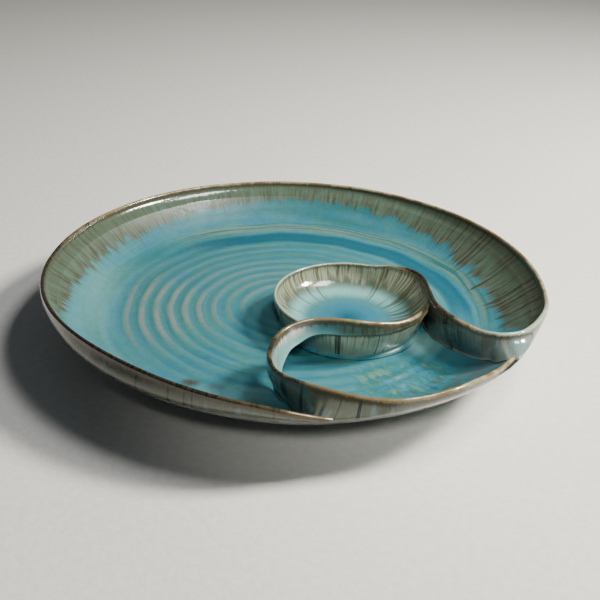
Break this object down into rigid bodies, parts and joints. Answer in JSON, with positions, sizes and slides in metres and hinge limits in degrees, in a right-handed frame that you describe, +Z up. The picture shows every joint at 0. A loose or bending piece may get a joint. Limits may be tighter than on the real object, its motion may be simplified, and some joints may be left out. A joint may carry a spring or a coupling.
{
  "type": "chip and dip server",
  "caption": "Round glazed stoneware platter whose rim sweeps inwards as two ribbons round a small dip bowl, leaving a wide chip well and a comma-shaped front well.",
  "frame": {"origin": "centre of the foot ring, on the table that the platter stands on", "axes": "+Z up; -Y towards the side where the rim is cut and swept inwards; +X to the right when that side faces the viewer"},
  "size_m": [0.32, 0.3184, 0.048],
  "materials": {
    "floor_glaze": "glossy reactive glaze, turquoise and blue with sandy and green throwing rings",
    "wall_glaze": "glossy sage and grey-green glaze with dark brown drips and a golden-brown lip",
    "strap_glaze": "glossy grey-green glaze with dark drips and a golden-brown lip",
    "bowl_glaze": "glossy sage glaze with brown streaks over turquoise, deep blue at the bottom",
    "bare_stoneware": "unglazed buff stoneware, matt"
  },
  "bodies": {
    "root": {"platter_floor": "floor_glaze", "platter_cove": "floor_glaze", "foot_ring": "bare_stoneware", "rim_wall": "wall_glaze", "front_wall": "wall_glaze", "bowl_strap": "strap_glaze", "bridge_strap": "strap_glaze", "dip_bowl": "bowl_glaze", "bowl_seat_coil": "floor_glaze"}
  },
  "joints": []
}
